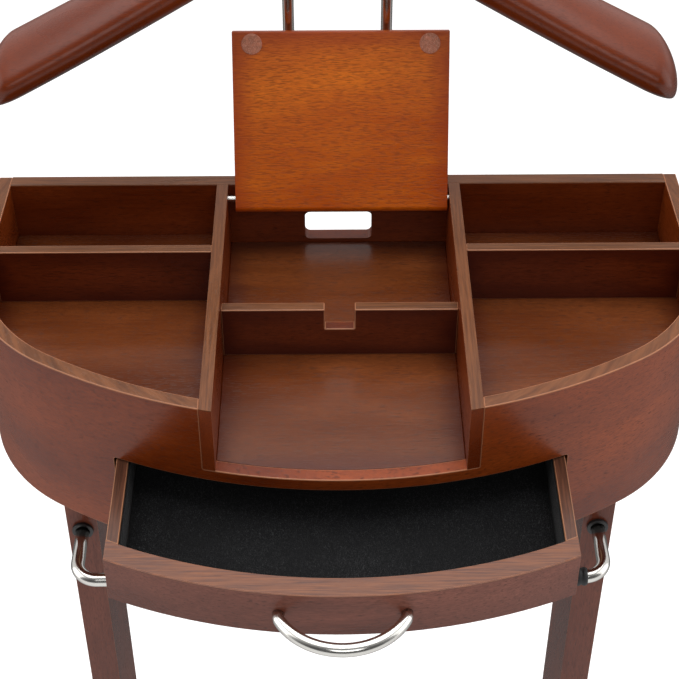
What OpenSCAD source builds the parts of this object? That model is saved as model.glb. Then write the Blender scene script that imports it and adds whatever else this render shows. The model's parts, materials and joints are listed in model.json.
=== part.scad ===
// Valet stand: a bow-fronted tray with a lidded charging bay and a felt-lined drawer, carried on two
// uprights with a trouser bar and a shoe rack, with a contoured coat hanger on two rods behind it.
// Millimetres. X is to the right, the front faces -Y and Z is up. Z = 0 is the floor.
// The tray's front wall, the lip and the drawer front share one bow circle.

/* [Overall] */
// Height of the tray's rim above the floor
rim_z = 850; // [780:5:920]
// How far the feet reach behind the tray's back face
foot_tail = 66; // [66:1:90]
// Length of each foot
foot_len = 404; // [360:2:420]

/* [Tray] */
// Widest outside width of the tray
tray_w = 494; // [486:1:510]
// Outside width of the tray along its back face
tray_back_w = 490; // [480:1:494]
// Outside depth from the back face to the middle of the bowed front
tray_d = 257; // [254:1:262]
// Height of the tray's wall
tray_h = 130; // [128:1:150]
// Thickness of the curved wall
wall_t = 9.5; // [8:0.5:11]
// Thickness of the rear panel
rear_t = 10.6; // [9:0.2:12]
// Radius of the bowed front
front_r = 360; // [350:1:380]
// Radius of the tray's front corners
corner_r = 120; // [115:1:125]
// Clear width of the centre bay
bay_w = 158.4; // [154:0.2:160]
// Thickness of the partitions and dividers
part_t = 8; // [6:0.5:9]
// Depth of the side compartments' floors below the rim
side_floor_drop = 44.5; // [40:0.5:46]
// Depth of the centre bay's floor below the rim
bay_floor_drop = 52; // [50:0.5:54]
// Depth of the side dividers' front faces behind the rim of the back face
divider_back = 88.3; // [70:0.1:100]
// Width of the cable slot in the rear panel
slot_w = 49; // [40:1:56]
// Width of the cable notch under the lid's front edge
notch_w = 20; // [14:1:30]

/* [Lid] */
// How far the lid is tipped open from closed, in degrees
lid_open = 114.5; // [108:0.5:115]
// Length of the lid from its rear edge to its front edge
lid_len = 127.8; // [126:0.1:128]
// Width of the lid
lid_w = 151.5; // [148:0.5:154]
// How far the lid sits to the right of the bay's middle, which bares the left hinge pin
lid_shift = 2.2; // [0:0.1:2.4]
// Thickness of the lid
lid_t = 10.8; // [10:0.1:11]
// Diameter of the lid's hinge pins
hinge_pin_d = 4; // [3:0.5:4.5]

/* [Drawer] */
// How far the drawer is pulled out
drawer_out = 85; // [0:1:130]
// Outside width of the drawer
drawer_w = 289; // [280:1:290]
// Height of the drawer
drawer_h = 35; // [32:0.5:36]
// Thickness of the drawer's bowed front
drawer_front_t = 14.5; // [12:0.5:16]
// Centre distance of the pull's two ends
pull_c = 77; // [64:1:96]
// Diameter of the pull's rod
pull_d = 8.5; // [7:0.5:10]
// How far the pull's centreline stands out from the middle of the drawer front
pull_reach = 25.5; // [22:0.5:32]

/* [Stand] */
// Thickness of each upright
upright_t = 21.4; // [18:0.2:22]
// Depth of each upright
upright_d = 67; // [60:1:75]
// Distance between the outer faces of the uprights
upright_span = 388; // [380:1:396]
// Diameter of the trouser bar
bar_d = 9.6; // [8:0.2:11]
// How far the trouser bar stands out from the uprights
bar_reach = 47; // [40:1:55]
// Diameter of the hanger's two rods
post_d = 8; // [6:0.5:10]
// Distance between the hanger's two rods
post_c = 69; // [60:1:80]

/* [Hanger] */
// Width of the hanger from tip to tip
hanger_w = 477; // [440:1:482]
// Height of the middle of the hanger's arms above the rim
hanger_rise = 182.6; // [150:0.1:220]
// How far the tips of the arms come forward of the hanger's middle
arm_sweep = 60; // [30:1:70]
// Depth of the arms at their widest, front to back
arm_depth = 74.4; // [60:0.1:80]
// Thickness of the arms
arm_thick = 31.7; // [28:0.1:38]
// How far the hanger's middle sits to the right of the middle of its rods
hanger_shift = -4.3; // [-5:0.1:5]
// How far the hanger is turned about its middle, in degrees
hanger_turn = 0.6; // [-2:0.1:2]

/* [Hidden] */
$fn = 72;
eps = 0.5;
fit_gap = 0.05;
end_gap = 1;
head_rim = 0.6;
head_top = 0.75;

// The origin is midway between the front of the pull and the rear ends of the feet.
pull_front = tray_d + drawer_out + pull_reach + pull_d / 2;
back_y = (pull_front - foot_tail) / 2;
foot_back_y = back_y + foot_tail;
tray_z = rim_z - tray_h;
bow_y = back_y - tray_d + front_r;
corner_x = tray_w / 2 - corner_r;
corner_drop = sqrt(pow(front_r - corner_r, 2) - pow(corner_x, 2));
corner_y = bow_y - corner_drop;
bow_fn = 240;
bow_steps = 44;
corner_steps = 26;
rear_in_y = back_y - rear_t;

// Centre bay
bay_x = bay_w / 2;
part_x = bay_x + part_t;
board_t = 6;
bay_floor_z = rim_z - bay_floor_drop;
lip_rise = 0.2;
lip_z = bay_floor_z + lip_rise;
side_floor_z = rim_z - side_floor_drop;
lid_rest_back = 137.7;
lid_rest_drop = 12.3;
notch_drop = 29;
slot_drop = 49;
slot_h = 24;
slot_corner_r = 4;
lid_rest_y = back_y - lid_rest_back;
lid_rest_z = rim_z - lid_rest_drop;
notch_z = rim_z - notch_drop;
slot_low_z = rim_z - slot_drop;
divider_drop = 1;
rear_round = 1;

// Lid hinge
hinge_back = 20.4;
lid_drop = 0.2;
hinge_tail = 9.3;
lid_tail_r = 4;
lid_front_r = 1.2;
lid_end = 20;
hinge_pin_in = 10;
hinge_pin_deep = 6;
pin_run_gap = 0.05;
pad_d = 14.4;
pad_t = 1;
pad_x = 62;
pad_from_hinge = 110.2;
hinge_y = back_y - hinge_back;
hinge_z = rim_z - lid_drop - lid_t / 2;

// Drawer and its housing
drawer_x = drawer_w / 2;
drawer_drop = 62.5;
drawer_top_z = rim_z - drawer_drop;
drawer_z = drawer_top_z - drawer_h;
drawer_side_t = 8;
drawer_in_x = drawer_x - drawer_side_t;
drawer_back_in = 17;
drawer_back_drop = 1;
drawer_back_y = back_y - drawer_back_in;
drawer_bottom_rise = 3.5;
drawer_bottom_z = drawer_z + drawer_bottom_rise;
drawer_bottom_t = 4;
felt_z = drawer_bottom_z + drawer_bottom_t;
felt_t = 1;
lining_drop = 1.5;
screw_sink = 2.6;
mouth_gap = 1.5;
mouth_r = 2;
mouth_x = drawer_x + mouth_gap;
mouth_top_z = drawer_top_z + mouth_gap;
slide_gap = 0.4;
shelf_z = drawer_z - slide_gap;
shelf_t = 6;
guide_h = 18;
guide_t = 10;
guide_ahead = 104;
guide_front_y = corner_y - guide_ahead;
stop_t = 5;
stop_w = 24;
stop_h = 22;
stop_inset = 40;
pull_z = drawer_z + drawer_h / 2;
pull_foot = 4;
pull_foot_in = 6;
pull_bore = 4;
veneer_t = 1;
screw_r = 2;
screw_head_r = 3.8;
screw_head_h = 2.2;
pull_seat_y = bow_y - sqrt(pow(front_r - drawer_front_t, 2) - pow(pull_c / 2, 2)) - screw_sink;

// Stand
upright_out_x = upright_span / 2;
upright_in_x = upright_out_x - upright_t;
upright_mid_x = upright_out_x - upright_t / 2;
upright_ahead = 180;
upright_front_y = back_y - upright_ahead;
upright_mid_y = upright_front_y + upright_d / 2;
upright_top_z = shelf_z - shelf_t;
cleat_t = 25;
cleat_d = 96;
cleat_h = 24;
cleat_bore = 20;
cleat_bolt = 18;
cleat_z = upright_top_z - cleat_h;
bolt_r = 3;
bolt_head_r = 6.5;
bolt_head_h = 4;
bolt_pitch = 34;
bar_drop = 179;
bar_z = rim_z - bar_drop;
bar_bend_r = 15;
bar_socket = 25;
grommet_d = 15;
grommet_t = 2.5;
grommet_neck_d = 12.6;
grommet_neck = 8;
sleeve_d = 13;
sleeve_right = 170;
sleeve_left = 150;
sleeve_rings = 26;
sleeve_groove = 0.5;
sleeve_rib = 0.6;

// Feet, stretcher and shoe rack
glide_h = 5;
glide_r = 9;
glide_inset = 16;
glide_bevel = 1.5;
foot_z = glide_h;
foot_h = 40;
foot_t = 24;
foot_nose = 18;
foot_top_z = foot_z + foot_h;
arch_len = 240;
arch_rise = 12;
foot_mid_y = foot_back_y - foot_len / 2;
foot_bolt_len = 70;
foot_bolt_pitch = 36;
foot_bolt_sink = 20;
foot_bolt_end = 4;
foot_bolt_room = 1;
stretcher_z = 165;
stretcher_h = 56;
stretcher_t = 18;
stretcher_bore = 32;
stretcher_bolt = 30;
rack_z = 104;
rack_tilt = 12;
rail_len = 250;
rail_h = 34;
rail_t = 15;
rail_corner_r = 8;
rack_rod_d = 9.6;
rack_rod_c = 170;
rack_socket_wall = 4;

// Hanger
post_x = post_c / 2;
post_behind = 42;
post_y = back_y + post_behind;
block_w = 116;
block_d = 54;
block_rise = 3;
block_z = tray_z + block_rise;
block_h = 70;
block_way_w = 54;
block_web_h = 22;
block_screw_len = 24;
block_screw_x = block_w / 2 - 10;
block_screw_rise = 16;
socket_depth = 58;
post_stop = 4;
collar_drop = 26;
collar_lead = 1;
hanger_mid_z = rim_z + hanger_rise;
collar_z = hanger_mid_z - collar_drop;
collar_h = 8;
collar_d = 15;
post_top_z = hanger_mid_z - post_stop;
dowel_r = 4;
dowel_len = 40;
neck_round = 40;
arm_slope = 0.5033;
arm_curve = -0.0002;
arm_waist = 0.3;
arm_waist_end = 0.9;
cap_start = 0.894;
cap_bias = 1.06;
cap_round = 1.72;
cap_open = 0.35;
arm_steps = 18;
cap_steps = 9;
arm_sides = 28;

mahogany = [0.45, 0.20, 0.11];
mahogany_light = [0.58, 0.27, 0.13];
mahogany_dark = [0.30, 0.11, 0.07];
nickel = [0.78, 0.77, 0.74];
black_felt = [0.06, 0.06, 0.06];
black_rubber = [0.10, 0.10, 0.10];
steel = [0.62, 0.62, 0.60];

// ---- shared shapes ----

// The tray's outline seen from above, moved inwards by inset; its back edge stays on the back face.
module tray_outline(inset) {
    half = tray_w / 2 - inset;
    back_half = tray_back_w / 2 - inset;
    join = asin(corner_x / (front_r - corner_r));
    right = arc(corner_x, corner_y, corner_r - inset, 0, join - 90, corner_steps);
    bow = arc(0, bow_y, front_r - inset, join - 90, -90 - join, bow_steps);
    left = arc(-corner_x, corner_y, corner_r - inset, -90 - join, -180, corner_steps);
    polygon(concat([[back_half, back_y]], right, [for (i = [1:bow_steps - 1]) bow[i]], left,
        [[-back_half, back_y]]));
}

// Points on an arc about (x, y) from angle a0 to a1.
function arc(x, y, r, a0, a1, steps) =
    [for (i = [0:steps]) let (a = a0 + (a1 - a0) * i / steps) [x + r * cos(a), y + r * sin(a)]];

// The disc inside the bow circle, moved inwards by inset.
module bow_disc(inset) {
    translate([0, bow_y]) circle(r = front_r - inset, $fn = bow_fn);
}

// A rectangle from its lower left corner, with round corners.
module round_rect(w, h, r) {
    translate([r, 0]) square([w - 2 * r, h]);
    translate([0, r]) square([w, h - 2 * r]);
    for (x = [r, w - r], y = [r, h - r]) translate([x, y]) circle(r = r);
}

// Extrudes a profile drawn in (Y, Z) along X, centred on X = 0.
module along_x(len) {
    translate([-len / 2, 0, 0]) rotate([90, 0, 90]) linear_extrude(len) children();
}

// Extrudes a profile drawn in (X, Z) along Y, from y to y + len.
module along_y(y, len) {
    translate([0, y + len, 0]) rotate([90, 0, 0]) linear_extrude(len) children();
}

module rod_x(x0, x1, r) {
    translate([x0, 0, 0]) rotate([0, 90, 0]) cylinder(h = x1 - x0, r = r);
}

module rod_y(y0, y1, r) {
    translate([0, y0, 0]) rotate([-90, 0, 0]) cylinder(h = y1 - y0, r = r);
}

// A screw or bolt whose head sits on Z = 0 with the shank going down.
module screw(len, r, head_r, head_h) {
    rim_h = head_h * head_rim;
    translate([0, 0, -len]) cylinder(h = len, r = r);
    cylinder(h = rim_h, r = head_r);
    translate([0, 0, rim_h]) cylinder(h = head_h - rim_h, r1 = head_r, r2 = head_r * head_top);
}

module both_sides() {
    for (s = [0, 1]) mirror([s, 0, 0]) children();
}

// ---- tray ----

module curved_wall() color(mahogany) difference() {
    translate([0, 0, tray_z]) linear_extrude(tray_h) difference() {
        tray_outline(0);
        tray_outline(wall_t);
    }
    bay_mouth();
    drawer_mouth();
}

// The cut that lowers the wall to the lip between the partitions.
module bay_mouth() {
    translate([-part_x, back_y - tray_d - eps, lip_z])
        cube([2 * part_x, tray_d / 2, tray_h]);
}

module drawer_mouth() {
    along_y(back_y - tray_d - eps, tray_d / 2)
        translate([-mouth_x, shelf_z]) round_rect(2 * mouth_x, mouth_top_z - shelf_z, mouth_r);
}

module rear_panel() color(mahogany_dark) difference() {
    translate([0, 0, tray_z]) linear_extrude(tray_h) intersection() {
        tray_outline(wall_t);
        translate([-tray_w / 2, rear_in_y]) square([tray_w, rear_t]);
    }
    along_y(rear_in_y - eps, rear_t + 2 * eps)
        translate([-slot_w / 2, slot_low_z]) round_rect(slot_w, slot_h, slot_corner_r);
    along_x(tray_w) difference() {
        translate([rear_in_y - eps, rim_z - rear_round]) square([rear_round + eps, rear_round + eps]);
        translate([rear_in_y + rear_round, rim_z - rear_round]) circle(r = rear_round);
    }
    block_screw_places() rod_y(-eps, rear_t + eps, screw_r + fit_gap);
}

module partition() difference() {
    union() {
        partition_layer(bay_floor_z - board_t, lip_z, wall_t);
        partition_layer(lip_z, rim_z, 0);
    }
    translate([0, hinge_y, hinge_z])
        rod_x(bay_x - eps, bay_x + hinge_pin_deep + eps, hinge_pin_d / 2 + pin_run_gap);
}

// The part of a partition between two heights, ending on the tray's outline moved inwards by inset.
module partition_layer(low_z, high_z, inset) {
    translate([0, 0, low_z]) linear_extrude(high_z - low_z) intersection() {
        tray_outline(inset);
        translate([bay_x, back_y - tray_d]) square([part_t, tray_d - rear_t]);
    }
}

module left_partition() color(mahogany_dark) mirror([1, 0, 0]) partition();

module right_partition() color(mahogany_dark) partition();

module divider() {
    translate([0, 0, side_floor_z]) linear_extrude(side_floor_drop - divider_drop) intersection() {
        tray_outline(wall_t);
        translate([part_x, back_y - divider_back]) square([tray_w, part_t]);
    }
}

module left_divider() color(mahogany_dark) mirror([1, 0, 0]) divider();

module right_divider() color(mahogany_dark) divider();

module lid_rest() color(mahogany) difference() {
    translate([-bay_x, lid_rest_y, bay_floor_z]) cube([bay_w, part_t, lid_rest_z - bay_floor_z]);
    translate([-notch_w / 2, lid_rest_y - eps, notch_z]) cube([notch_w, part_t + 2 * eps, bay_floor_drop]);
}

module centre_floor() color(mahogany) translate([0, 0, bay_floor_z - board_t]) linear_extrude(board_t)
    intersection() {
        tray_outline(wall_t);
        translate([-bay_x, back_y - tray_d]) square([bay_w, tray_d - rear_t]);
    }

module side_floor() {
    translate([0, 0, side_floor_z - board_t]) linear_extrude(board_t) intersection() {
        tray_outline(wall_t);
        translate([part_x, back_y - tray_d]) square([tray_w, tray_d - rear_t]);
    }
}

module left_floor() color(mahogany) mirror([1, 0, 0]) side_floor();

module right_floor() color(mahogany) side_floor();

module drawer_shelf() color(mahogany_dark) translate([0, 0, shelf_z - shelf_t]) linear_extrude(shelf_t)
    intersection() {
        tray_outline(wall_t);
        translate([-tray_w, back_y - tray_d]) square([2 * tray_w, tray_d - rear_t]);
    }

module drawer_guides() color(mahogany_light) both_sides()
    translate([mouth_x, guide_front_y, shelf_z]) cube([guide_t, rear_in_y - guide_front_y, guide_h]);

module drawer_stops() color(mahogany_light) both_sides()
    translate([drawer_x - stop_inset, rear_in_y - stop_t, shelf_z]) cube([stop_w, stop_t, stop_h]);

// ---- lid, drawn closed and tipped open about its hinge ----

module tipped_open() {
    translate([0, hinge_y, hinge_z]) rotate([-lid_open, 0, 0]) children();
}

// The board's hinge edge is rounded more than its front edge, so that it clears the rear panel.
module lid() color(mahogany_light) tipped_open() difference() {
    translate([lid_shift, 0, 0]) along_x(lid_w) translate([hinge_tail - lid_len, -lid_t / 2]) {
        round_rect(lid_end, lid_t, lid_front_r);
        translate([lid_end / 2, 0]) square([lid_len - lid_end, lid_t]);
        translate([lid_len - lid_end, 0]) round_rect(lid_end, lid_t, lid_tail_r);
    }
    for (s = [-1, 1]) translate([lid_shift + s * (lid_w / 2 - hinge_pin_in / 2), 0, 0])
        rod_x(-hinge_pin_in / 2 - eps, hinge_pin_in / 2 + eps, hinge_pin_d / 2);
}

// Each pin runs from inside the lid into the partition beside it.
module hinge_pins() color(nickel) tipped_open() {
    pin_end = bay_x + hinge_pin_deep;
    rod_x(lid_shift + lid_w / 2 - hinge_pin_in, pin_end, hinge_pin_d / 2);
    rod_x(-pin_end, lid_shift - lid_w / 2 + hinge_pin_in, hinge_pin_d / 2);
}

module lid_pads() color("tan") tipped_open() for (s = [-1, 1])
    translate([lid_shift + s * pad_x, -pad_from_hinge, -lid_t / 2 - pad_t])
        cylinder(h = pad_t, r = pad_d / 2);

// ---- drawer, drawn shut and slid out ----

module pulled_out() translate([0, -drawer_out, 0]) children();

module bow_strip(half_w, outer, inner) {
    intersection() {
        difference() {
            bow_disc(outer);
            bow_disc(inner);
        }
        translate([-half_w, back_y - tray_d - eps]) square([2 * half_w, tray_d / 2]);
    }
}

module drawer_front() color(mahogany) pulled_out() difference() {
    translate([0, 0, drawer_z]) linear_extrude(drawer_h) bow_strip(drawer_x, veneer_t, drawer_front_t);
    pull_screw_holes();
}

module drawer_veneer() color(mahogany_dark) pulled_out() difference() {
    translate([0, 0, drawer_z]) linear_extrude(drawer_h) bow_strip(drawer_x, 0, veneer_t);
    pull_screw_holes();
}

// Holes for the pull's screws, with recesses for their heads in the inner face.
module pull_screw_holes() both_sides() translate([pull_c / 2, 0, pull_z]) {
    rod_y(back_y - tray_d - eps, pull_seat_y + eps, screw_r + fit_gap);
    rod_y(pull_seat_y, pull_seat_y + drawer_front_t, screw_head_r + fit_gap);
}

module drawer_side() {
    translate([0, 0, drawer_z]) linear_extrude(drawer_h) intersection() {
        bow_disc(drawer_front_t);
        translate([drawer_in_x, back_y - tray_d])
            square([drawer_side_t, tray_d - back_y + drawer_back_y]);
    }
}

module drawer_left_side() color(mahogany) pulled_out() mirror([1, 0, 0]) drawer_side();

module drawer_right_side() color(mahogany) pulled_out() drawer_side();

module drawer_back() color(mahogany) pulled_out()
    translate([-drawer_in_x, drawer_back_y - drawer_side_t, drawer_z])
        cube([2 * drawer_in_x, drawer_side_t, drawer_h - drawer_back_drop]);

module drawer_panel(z, t) {
    translate([0, 0, z]) linear_extrude(t) drawer_inside(0);
}

// The drawer's inside seen from above, moved inwards by inset.
module drawer_inside(inset) {
    low_y = back_y - tray_d;
    intersection() {
        bow_disc(drawer_front_t + inset);
        translate([inset - drawer_in_x, low_y])
            square([2 * (drawer_in_x - inset), drawer_back_y - drawer_side_t - inset - low_y]);
    }
}

module drawer_bottom() color(mahogany_light) pulled_out() drawer_panel(drawer_bottom_z, drawer_bottom_t);

module drawer_felt() color(black_felt) pulled_out() drawer_panel(felt_z, felt_t);

// The felt on the inside of the drawer's four walls, in one band.
module drawer_lining() color(black_felt) pulled_out()
    translate([0, 0, felt_z + felt_t]) linear_extrude(drawer_top_z - lining_drop - felt_z - felt_t)
        difference() {
            drawer_inside(0);
            drawer_inside(felt_t);
        }

// Where the bow of the pull ends and its two straight feet begin.
function pull_foot_y() = bow_y - sqrt(pow(front_r, 2) - pow(pull_c / 2, 2)) - pull_foot;

// The pull is a bow of round rod in the horizontal plane, cut off square to the drawer front.
module drawer_pull() color(nickel) pulled_out() difference() {
    foot_y = pull_foot_y();
    rise = foot_y - (back_y - tray_d - pull_reach);
    bow = (pow(pull_c / 2, 2) + pow(rise, 2)) / (2 * rise);
    half_angle = asin(pull_c / 2 / bow);
    union() {
        translate([0, back_y - tray_d - pull_reach + bow, pull_z]) rotate([0, 0, -90 - half_angle])
            rotate_extrude(angle = 2 * half_angle) translate([bow, 0]) circle(d = pull_d);
        both_sides() translate([pull_c / 2, 0, pull_z])
            rod_y(foot_y - eps, foot_y + pull_foot_in, pull_d / 2);
    }
    linear_extrude(rim_z) bow_disc(0);
    both_sides() translate([pull_c / 2, 0, pull_z])
        rod_y(foot_y - pull_bore, foot_y + pull_foot_in + 2 * eps, screw_r);
}

module pull_screws() color(steel) pulled_out() both_sides()
    translate([pull_c / 2, pull_seat_y, pull_z]) rotate([-90, 0, 0])
        screw(pull_seat_y - pull_foot_y() + pull_bore - end_gap, screw_r, screw_head_r, screw_head_h);

// ---- stand ----

module upright() difference() {
    translate([upright_in_x, upright_front_y, foot_top_z])
        cube([upright_t, upright_d, upright_top_z - foot_top_z]);
    translate([upright_mid_x, 0, bar_z]) {
        rod_y(upright_front_y - eps, upright_front_y + bar_socket, bar_d / 2 + fit_gap);
        rod_y(upright_front_y - eps, upright_front_y + grommet_neck, grommet_neck_d / 2 + fit_gap);
    }
    upright_bolt_places() rod_x(-eps - upright_t, eps, bolt_r + fit_gap);
    stretcher_bolt_place() rod_x(-eps - upright_t, eps, bolt_r + fit_gap);
    foot_bolt_places() translate([0, 0, -eps]) cylinder(h = foot_bolt_len, r = bolt_r + fit_gap);
}

module upright_bolt_places() {
    for (s = [-0.5, 0.5])
        translate([upright_out_x, upright_mid_y + s * bolt_pitch, cleat_z + cleat_h / 2]) children();
}

module stretcher_bolt_place() {
    translate([upright_out_x, upright_mid_y, stretcher_z + stretcher_h / 2]) children();
}

module foot_bolt_places() {
    for (s = [-0.5, 0.5]) translate([upright_mid_x, upright_mid_y + s * foot_bolt_pitch, foot_top_z])
        children();
}

module left_upright() color(mahogany) mirror([1, 0, 0]) upright();

module right_upright() color(mahogany) upright();

module cleat() difference() {
    translate([upright_in_x - cleat_t, upright_mid_y - cleat_d / 2, cleat_z])
        cube([cleat_t, cleat_d, cleat_h]);
    upright_bolt_places() rod_x(-upright_t - cleat_bore, -upright_t + eps, bolt_r + fit_gap);
}

module left_cleat() color(mahogany_light) mirror([1, 0, 0]) cleat();

module right_cleat() color(mahogany_light) cleat();

module side_bolt(len) {
    rotate([0, 90, 0]) screw(len, bolt_r, bolt_head_r, bolt_head_h);
}

module upright_bolts() color(steel) both_sides() upright_bolt_places() side_bolt(upright_t + cleat_bolt);

module trouser_bar() color(nickel) {
    r = bar_d / 2;
    bend_x = upright_mid_x - bar_bend_r;
    front_y = upright_front_y - bar_reach;
    translate([0, front_y, bar_z]) rod_x(-bend_x, bend_x, r);
    both_sides() {
        translate([upright_mid_x, 0, bar_z])
            rod_y(front_y + bar_bend_r, upright_front_y + bar_socket - end_gap, r);
        translate([bend_x, front_y + bar_bend_r, bar_z]) rotate([0, 0, -90])
            rotate_extrude(angle = 90) translate([bar_bend_r, 0]) circle(r = r);
    }
}

module bar_grommets() color(black_rubber) both_sides() translate([upright_mid_x, 0, bar_z]) difference() {
    union() {
        rod_y(upright_front_y - grommet_t, upright_front_y, grommet_d / 2);
        rod_y(upright_front_y - eps, upright_front_y + grommet_neck, grommet_neck_d / 2);
    }
    rod_y(upright_front_y - grommet_t - eps, upright_front_y + grommet_neck + eps, bar_d / 2 + fit_gap);
}

// A ribbed rubber tube pushed over the bar.
module bar_sleeve() color(black_rubber) {
    len = sleeve_right + sleeve_left;
    pitch = len / sleeve_rings;
    wall = (sleeve_d - bar_d) / 2;
    translate([-sleeve_left, upright_front_y - bar_reach, bar_z]) rotate([0, 90, 0])
        rotate_extrude() union() {
            translate([bar_d / 2 + fit_gap, 0]) square([wall - sleeve_groove, len]);
            for (i = [0:sleeve_rings - 1])
                translate([bar_d / 2 + fit_gap, i * pitch]) square([wall, pitch * sleeve_rib]);
        }
}

// ---- feet, stretcher and shoe rack ----

module foot() difference() {
    along_foot() difference() {
        half = foot_len / 2;
        translate([foot_mid_y, foot_z]) polygon([[-half, 0], [half, 0], [half, foot_h / 2],
            [half - foot_nose, foot_h], [-half + foot_nose, foot_h], [-half, foot_h / 2]]);
        translate([foot_mid_y, foot_z + arch_rise - arch_r()]) circle(r = arch_r(), $fn = bow_fn);
    }
    foot_bolt_places() translate([0, 0, -foot_h - eps]) {
        cylinder(h = foot_h + 2 * eps, r = bolt_r + fit_gap);
        cylinder(h = foot_h - foot_bolt_sink + eps, r = bolt_head_r + foot_bolt_room);
    }
}

function arch_r() = (pow(arch_len / 2, 2) + pow(arch_rise, 2)) / (2 * arch_rise);

module along_foot() {
    translate([upright_mid_x, 0, 0]) along_x(foot_t) children();
}

module left_foot() color(mahogany) mirror([1, 0, 0]) foot();

module right_foot() color(mahogany) foot();

module foot_bolts() color(steel) both_sides() foot_bolt_places()
    translate([0, 0, -foot_bolt_sink]) mirror([0, 0, 1])
        screw(foot_bolt_sink + foot_bolt_len - foot_bolt_end, bolt_r, bolt_head_r, bolt_head_h);

module floor_glides() color(black_rubber) both_sides() for (s = [-1, 1])
    translate([upright_mid_x, foot_mid_y + s * (foot_len / 2 - glide_inset), 0]) {
        cylinder(h = glide_bevel, r1 = glide_r - glide_bevel, r2 = glide_r);
        translate([0, 0, glide_bevel]) cylinder(h = glide_h - glide_bevel, r = glide_r);
    }

module stretcher() color(mahogany) difference() {
    translate([-upright_in_x, upright_mid_y - stretcher_t / 2, stretcher_z])
        cube([2 * upright_in_x, stretcher_t, stretcher_h]);
    both_sides() stretcher_bolt_place()
        rod_x(-upright_t - stretcher_bore, -upright_t + eps, bolt_r + fit_gap);
}

module stretcher_bolts() color(nickel) both_sides() stretcher_bolt_place()
    side_bolt(upright_t + stretcher_bolt);

module on_rack() translate([0, upright_mid_y, rack_z]) rotate([rack_tilt, 0, 0]) children();

module rack_rail() on_rack() difference() {
    translate([upright_in_x - rail_t / 2, 0, 0]) along_x(rail_t)
        translate([-rail_len / 2, -rail_h / 2]) round_rect(rail_len, rail_h, rail_corner_r);
    for (s = [-0.5, 0.5]) translate([0, s * rack_rod_c, 0])
        rod_x(upright_in_x - rail_t - eps, upright_in_x - rack_socket_wall, rack_rod_d / 2 + fit_gap);
}

module left_rack_rail() color(mahogany) mirror([1, 0, 0]) rack_rail();

module right_rack_rail() color(mahogany) rack_rail();

module rack_rods() color(nickel) on_rack() {
    end_x = upright_in_x - rack_socket_wall - end_gap;
    for (s = [-0.5, 0.5]) translate([0, s * rack_rod_c, 0]) rod_x(-end_x, end_x, rack_rod_d / 2);
}

// ---- hanger and its rods ----

module post_places() {
    for (s = [-1, 1]) translate([s * post_x, post_y, 0]) children();
}

// Places of the block's four screws, on the rear panel's inner face.
module block_screw_places() both_sides()
    for (z = [block_z + block_screw_rise, block_z + block_h - block_screw_rise])
        translate([block_screw_x, rear_in_y, z]) children();

// Two legs that hold the rods and a low web between them. The cable slot's way out stays open.
module post_block() color(mahogany) difference() {
    translate([-block_w / 2, back_y, block_z]) cube([block_w, block_d, block_h]);
    translate([-block_way_w / 2, back_y - eps, block_z + block_web_h])
        cube([block_way_w, block_d + 2 * eps, block_h]);
    post_places() translate([0, 0, block_z + block_h - socket_depth])
        cylinder(h = socket_depth + eps, r = post_d / 2 + fit_gap);
    block_screw_places() rod_y(rear_t - eps, rear_t + block_screw_len + 2 * end_gap, screw_r + fit_gap);
}

module block_screws() color(steel) block_screw_places() rotate([90, 0, 0])
    screw(rear_t + block_screw_len, screw_r, screw_head_r, screw_head_h);

module post() {
    low_z = block_z + block_h - socket_depth + end_gap;
    translate([post_x, post_y, low_z]) cylinder(h = post_top_z - low_z, r = post_d / 2);
}

module left_post() color(nickel) mirror([1, 0, 0]) post();

module right_post() color(nickel) post();

module post_collars() color(nickel) post_places() translate([0, 0, collar_z]) difference() {
    union() {
        cylinder(h = collar_lead, r1 = collar_d / 2 - collar_lead, r2 = collar_d / 2);
        translate([0, 0, collar_lead]) cylinder(h = collar_h - collar_lead, r = collar_d / 2);
    }
    translate([0, 0, -eps]) cylinder(h = collar_h + 2 * eps, r = post_d / 2 + fit_gap);
}

// Puts what is drawn about the hanger's middle in its place.
module on_hanger() {
    translate([hanger_shift, post_y, hanger_mid_z]) rotate([0, 0, hanger_turn]) children();
}

module hanger_dowel() color(mahogany_light) on_hanger() rod_x(-dowel_len / 2, dowel_len / 2, dowel_r);

// The arm is a row of ellipses from the middle to the tip. It droops and sweeps forward, its depth grows
// from the neck, and it closes in a rounded cap that hugs the lower edge. Its middle is at the origin.
function arm_station(i) = i <= arm_steps
    ? i / arm_steps * cap_start
    : cap_start + (1 - cap_start) * sin(90 * (i - arm_steps) / (cap_steps + cap_open));
function arm_shrink(u) = u <= cap_start ? 1
    : pow(1 - pow((u - cap_start) / (1 - cap_start), cap_round), 1 / cap_round);
function arm_grow(u) = arm_waist + (1 - arm_waist) * sin(90 * min(1, u / arm_waist_end));
function arm_run(x) = sqrt(x * x + neck_round * neck_round) - neck_round;
function arm_point(u, a) =
    let (
        x = u * hanger_w / 2,
        run = arm_run(x),
        dip = atan(arm_slope * x / (run + neck_round) + 2 * arm_curve * x),
        shrink = arm_shrink(u),
        half_h = arm_thick / 2 * shrink,
        lift = half_h * sin(a) - (arm_thick / 2 - half_h) * cap_bias)
    [x + lift * sin(dip),
     arm_depth / 2 * arm_grow(u) * shrink * cos(a) - arm_sweep * run / arm_run(hanger_w / 2),
     lift * cos(dip) - arm_slope * run - arm_curve * x * x];

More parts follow.
